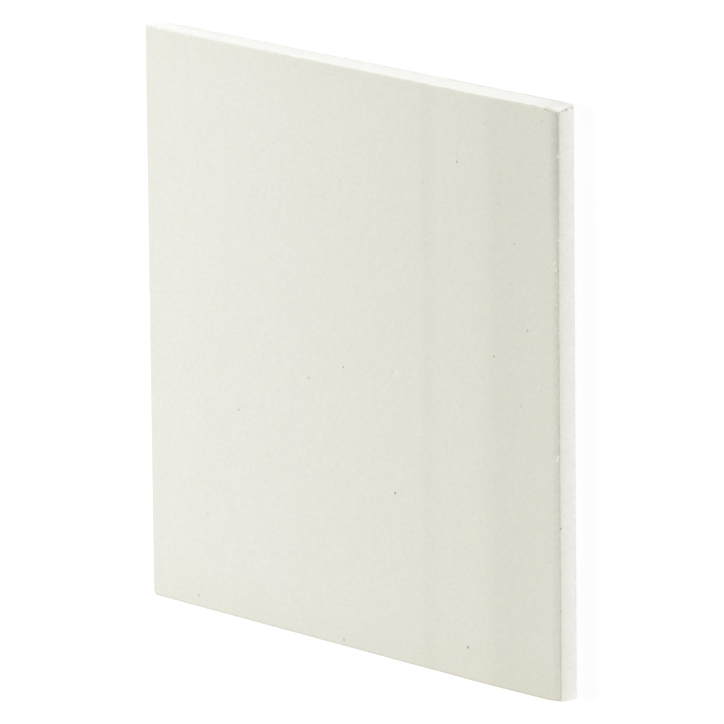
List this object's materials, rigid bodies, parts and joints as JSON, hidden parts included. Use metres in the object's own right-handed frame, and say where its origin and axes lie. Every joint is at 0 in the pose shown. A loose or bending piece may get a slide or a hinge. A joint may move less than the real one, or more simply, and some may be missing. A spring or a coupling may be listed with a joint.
{
  "type": "drywall sheet",
  "caption": "Flat square piece of paper-faced gypsum board with a tapered, rounded long edge and plain cut edges, for lining walls and ceilings.",
  "frame": {"origin": "middle of the footprint, on the underside of the back paper", "axes": "+X towards the tapered long edge, +Y along that edge towards the snapped end, +Z out of the face paper"},
  "size_m": [0.3048, 0.3048, 0.0127],
  "materials": {
    "gypsum": "white foamed gypsum, matt and slightly pitted where cut",
    "face_paper": "ivory smooth-calendered paper, matt, with fine fibres and flecks",
    "back_paper": "tan-grey rough recycled paper, matt"
  },
  "bodies": {
    "root": {"gypsum_core": "gypsum", "face_paper": "face_paper", "back_paper": "back_paper"}
  },
  "joints": []
}
